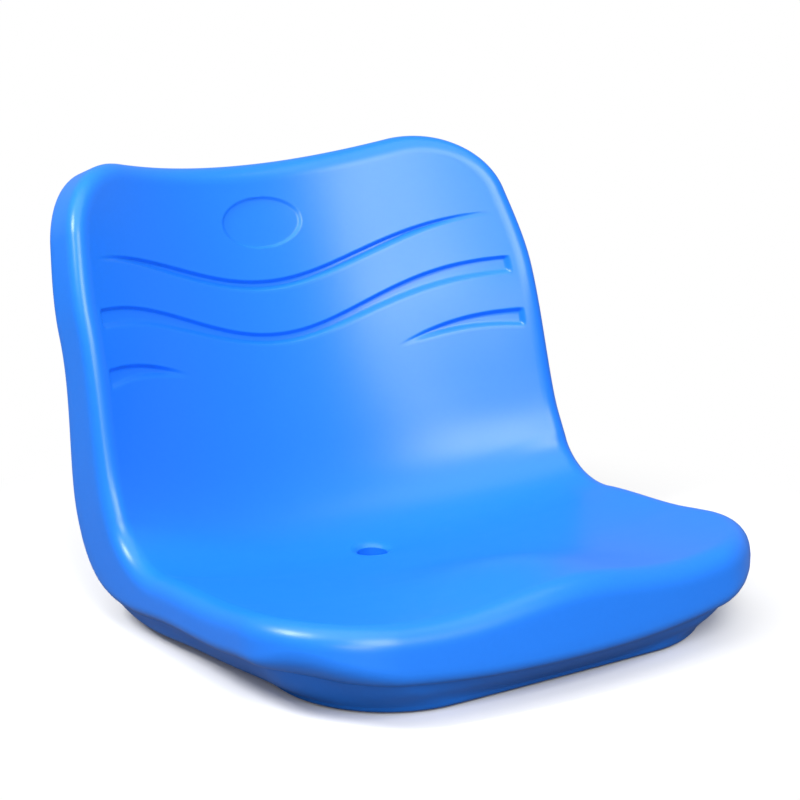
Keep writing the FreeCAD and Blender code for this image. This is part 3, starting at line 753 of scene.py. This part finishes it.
def base_cuts(bench, size):
    """What is cut from the skin: drain, insert pockets, the plug's recess and hole, and tack cones."""
    drain = cylinder(bench, size["drain radius"], DRAIN_Y, WIDE_CUT_START, DRAIN_CUT_END, 96)
    mouth = cylinder(bench, size["mouth radius"], 0.0, WIDE_CUT_START, size["mouth depth"])
    pocket = cylinder(bench, size["pocket radius"], 0.0, NARROW_CUT_START, size["pocket depth"], 6)
    pockets = [at_four(bench, mesh, size["insert spacing x"], size["insert spacing y"], INSERT_MIDDLE_Y)
               for mesh in (mouth, pocket)]
    recess = cylinder(bench, size["recess radius"], PLUG_Y, WIDE_CUT_START, size["recess depth"])
    hole = cylinder(bench, size["plug hole radius"], PLUG_Y, NARROW_CUT_START, size["plug hole depth"])

    half_x = 0.5 * SEAT["tack spacing x"]
    half_y = 0.5 * SEAT["tack spacing y"]
    front_tip = pan_height(half_x, TACK_MIDDLE_Y - half_y) - TACK_TIP_PLASTIC
    rear_tip = pan_height(half_x, TACK_MIDDLE_Y + half_y) - TACK_TIP_PLASTIC
    rear = bench.add("GeometryNodeInputPosition").parts()[1] > TACK_MIDDLE_Y
    cone = bench.add("GeometryNodeMeshCone", {}, {
        "Vertices": ROUND_SIDES, "Radius Top": size["tack tip radius"],
        "Radius Bottom": size["tack foot radius"], "Depth": 1.0})
    tall = bench.vector(1.0, 1.0, mix(front_tip, rear_tip, rear))
    tacks = at_four(bench, cone, size["tack spacing x"], size["tack spacing y"], TACK_MIDDLE_Y, tall)
    return [drain, *pockets, recess, hole, tacks]


def moulding_tree():
    """Tree that bends the pattern, and cuts the drain, the tack cones and the pockets in the base."""
    tree = bpy.data.node_groups.new("seat moulding", "GeometryNodeTree")
    tree.interface.new_socket("Pattern", in_out="INPUT", socket_type="NodeSocketGeometry")
    for name in SEAT:
        tree.interface.new_socket(name, in_out="INPUT", socket_type="NodeSocketFloat")
    tree.interface.new_socket("Plastic", in_out="INPUT", socket_type="NodeSocketMaterial")
    tree.interface.new_socket("Seat", in_out="OUTPUT", socket_type="NodeSocketGeometry")
    bench = Bench(tree)
    pattern = bench.add("NodeGroupInput")
    size = {name: pattern.out(name) for name in SEAT}
    skin = moulded(bench, size, pattern)
    seat = bench.add("GeometryNodeMeshBoolean", {"operation": "DIFFERENCE", "solver": "MANIFOLD"},
                     {"Mesh 1": skin, "Mesh 2": base_cuts(bench, size)})
    seat = bench.add("GeometryNodeSetShadeSmooth", {"domain": "FACE"},
                     {"Geometry": seat, "Shade Smooth": True})
    sharp = bench.add("GeometryNodeInputMeshEdgeAngle") > SHARP_ANGLE
    seat = bench.add("GeometryNodeSetShadeSmooth", {"domain": "EDGE"},
                     {"Geometry": seat, "Selection": sharp, "Shade Smooth": False})
    seat = bench.add("GeometryNodeRealizeInstances", {}, {"Geometry": seat})
    seat = bench.add("GeometryNodeSetMaterial", {}, {"Geometry": seat, "Material": pattern.out("Plastic")})
    bench.add("NodeGroupOutput", {}, {"Seat": seat})
    return tree


def mould_seat(plastic):
    """The one-piece seat, moulded from its flat pattern and left as a plain mesh."""
    seat = bpy.data.objects.new("seat_moulding", flat_pattern())
    bpy.context.scene.collection.objects.link(seat)
    tree = moulding_tree()
    mould = seat.modifiers.new("mould", "NODES")
    mould.node_group = tree
    for item in tree.interface.items_tree:
        if item.in_out == "INPUT" and item.name in SEAT:
            mould[item.identifier] = SEAT[item.name]
        if item.name == "Plastic":
            mould[item.identifier] = plastic
    graph = bpy.context.evaluated_depsgraph_get()
    mesh = bpy.data.meshes.new_from_object(seat.evaluated_get(graph))
    seat.modifiers.remove(mould)
    seat.data = mesh
    for name in (*PATTERN_VECTORS, "band"):
        if name in mesh.attributes:
            mesh.attributes.remove(mesh.attributes[name])
    return seat


# Finishes

def finish(name):
    """A new material with an empty tree, and the place on the piece in metres."""
    material = bpy.data.materials.new(name)
    material.use_nodes = True
    material.node_tree.nodes.clear()
    bench = Bench(material.node_tree)
    return material, bench, bench.add("ShaderNodeTexCoord", out="Object")


def noise(bench, place, scale, detail=2.0):
    """Noise between 0 and 1."""
    return bench.add("ShaderNodeTexNoise", {},
                     {"Vector": place, "Scale": scale, "Detail": detail, "Lacunarity": 2.37})


def blend_colours(bench, share, first, last):
    """Colour between two."""
    return bench.add("ShaderNodeMix", {"data_type": "RGBA"},
                     {0: share, 6: (*first, 1.0), 7: (*last, 1.0)}, out=2)


def bumped(bench, height):
    """Normal bent by a height in metres."""
    return bench.add("ShaderNodeBump", {}, {"Height": height, "Strength": 1.0, "Distance": 1.0}, out="Normal")


def output(bench, surface):
    """Surface handed to the material's output."""
    bench.add("ShaderNodeOutputMaterial", {}, {"Surface": surface})


def seat_plastic():
    """Blow-moulded plastic in bright blue with a satin gloss and the faint grain of the mould."""
    material, bench, place = finish("blue moulded plastic")
    specks = noise(bench, place, 260.0, 4.0)
    colour = blend_colours(bench, specks, (0.0090, 0.182, 0.815), (0.0110, 0.198, 0.850))
    rough = 0.31 + 0.05 * noise(bench, place, 23.0)
    grain = noise(bench, place, 700.0) * 0.000004 + noise(bench, place, 55.0) * 0.00005
    shader = bench.add("ShaderNodeBsdfPrincipled", {}, {
        "Base Color": colour, "Roughness": rough, "Normal": bumped(bench, grain), "IOR": 1.5})
    output(bench, shader)
    return material


def insert_steel():
    """Zinc-bright steel with the fine marks of turning."""
    material, bench, place = finish("turned steel")
    marks = noise(bench, place, 900.0, 3.0)
    colour = blend_colours(bench, marks, (0.58, 0.58, 0.56), (0.66, 0.66, 0.64))
    shader = bench.add("ShaderNodeBsdfPrincipled", {}, {
        "Base Color": colour, "Roughness": 0.28 + 0.14 * noise(bench, place, 350.0), "Metallic": 1.0,
        "Normal": bumped(bench, marks * 0.00001)})
    output(bench, shader)
    return material


def plug_plastic():
    """Dull blue plastic of the pressed-in plug."""
    material, bench, place = finish("dull plug plastic")
    speckle = noise(bench, place, 700.0, 3.0)
    colour = blend_colours(bench, speckle, (0.016, 0.15, 0.68), (0.020, 0.17, 0.76))
    shader = bench.add("ShaderNodeBsdfPrincipled", {}, {
        "Base Color": colour, "Roughness": 0.5 + 0.12 * speckle,
        "Normal": bumped(bench, speckle * 0.00002)})
    output(bench, shader)
    return material


# The studio

def floor_material():
    """Plain pale floor that keeps the seat's shadow and runs out into the white surroundings."""
    material, bench, place = finish("pale floor")
    seen = bench.add("ShaderNodeLightPath", out="Is Camera Ray")
    colour = blend_colours(bench, seen, (0.20, 0.20, 0.20), (0.96, 0.96, 0.96))
    near = bench.add("ShaderNodeBsdfDiffuse", {}, {"Color": colour})
    x, y, _ = place.parts()
    far = smooth((x * x + y * y) ** 0.5, 0.22, 0.46) * seen
    white = bench.add("ShaderNodeEmission", {}, {"Color": (1.0, 1.0, 1.0, 1.0), "Strength": 1.0})
    output(bench, bench.add("ShaderNodeMixShader", {}, {0: far, 1: near, 2: white}))
    return material


def direction(azimuth, height):
    """Unit vector from the seat towards a direction in degrees, with the front at azimuth 0."""
    azimuth = math.radians(azimuth)
    height = math.radians(height)
    flat = Vector((math.sin(azimuth), -math.cos(azimuth), 0.0)) * math.cos(height)
    return flat + Vector((0.0, 0.0, math.sin(height)))


def lamp(name, azimuth, height, distance, width, tall, power):
    """Soft lamp that looks at the seat from a direction."""
    light = bpy.data.lights.new(name, "AREA")
    light.shape = "RECTANGLE"
    light.size = width
    light.size_y = tall
    light.energy = power
    back = direction(azimuth, height)
    turn = back.to_track_quat("Z", "Y").to_matrix().to_4x4()
    holder = bpy.data.objects.new(name, light)
    holder.matrix_world = Matrix.Translation(SEAT_MIDDLE + back * distance) @ turn
    bpy.context.scene.collection.objects.link(holder)


def place_camera():
    """Camera at the photograph's viewing angle."""
    back = direction(CAMERA_AZIMUTH, CAMERA_HEIGHT)
    right = direction(CAMERA_AZIMUTH + 90.0, 0.0)
    up = back.cross(right)
    place = CAMERA_TARGET + CAMERA_DISTANCE * back + CAMERA_RIGHT * right + CAMERA_UP * up
    camera = bpy.data.objects.new("camera", bpy.data.cameras.new("camera"))
    camera.data.lens = CAMERA_LENS
    camera.data.sensor_width = 36.0
    camera.matrix_world = Matrix.Translation(place) @ Matrix((right, up, back)).transposed().to_4x4()
    bpy.context.scene.collection.objects.link(camera)
    bpy.context.scene.camera = camera


def studio():
    """Floor, white surroundings, soft lamps and the camera."""
    mesh = bpy.data.meshes.new("studio_floor")
    square = ((-1, -1), (1, -1), (1, 1), (-1, 1))
    corners = [(FLOOR_HALF * x, FLOOR_HALF * y, FLOOR_HEIGHT) for x, y in square]
    mesh.from_pydata(corners, [], [(0, 1, 2, 3)])
    mesh.materials.append(floor_material())
    floor = bpy.data.objects.new("studio_floor", mesh)
    bpy.context.scene.collection.objects.link(floor)

    world = bpy.data.worlds.new("studio")
    world.use_nodes = True
    world.node_tree.nodes.clear()
    bench = Bench(world.node_tree)
    glow = bench.add("ShaderNodeBackground", {}, {"Color": (1.0, 1.0, 1.0, 1.0), "Strength": WORLD_GLOW})
    white = bench.add("ShaderNodeBackground", {}, {"Color": (1.0, 1.0, 1.0, 1.0), "Strength": 1.0})
    ray = bench.add("ShaderNodeLightPath", out="Is Camera Ray")
    seen = clamped(ray + REFLECTED_WHITE * (ray.out("Is Glossy Ray") + ray.out("Is Transmission Ray")))
    surroundings = bench.add("ShaderNodeMixShader", {}, {0: seen, 1: glow, 2: white})
    bench.add("ShaderNodeOutputWorld", {}, {"Surface": surroundings})
    bpy.context.scene.world = world
    lamp("top softbox", -40.0, 78.0, 2.2, 2.8, 2.4, 30.0)
    lamp("front softbox", -10.0, 39.0, 2.4, 1.4, 1.0, 39.0)
    lamp("low softbox", -32.0, 19.0, 2.6, 1.1, 0.45, 12.0)
    lamp("side softbox", -99.0, 46.0, 1.9, 0.5, 0.5, 27.0)

    place_camera()
    bpy.context.scene.view_settings.view_transform = "Standard"


plastic = seat_plastic()
seat = mould_seat(plastic)
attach(seat, "root")
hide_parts("seat_shell")

steel = insert_steel()
for node in ("insert_front_left", "insert_front_right", "insert_rear_left", "insert_rear_right"):
    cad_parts[node].material_slots[0].material = steel
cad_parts["blow_hole_plug"].material_slots[0].material = plug_plastic()

studio()
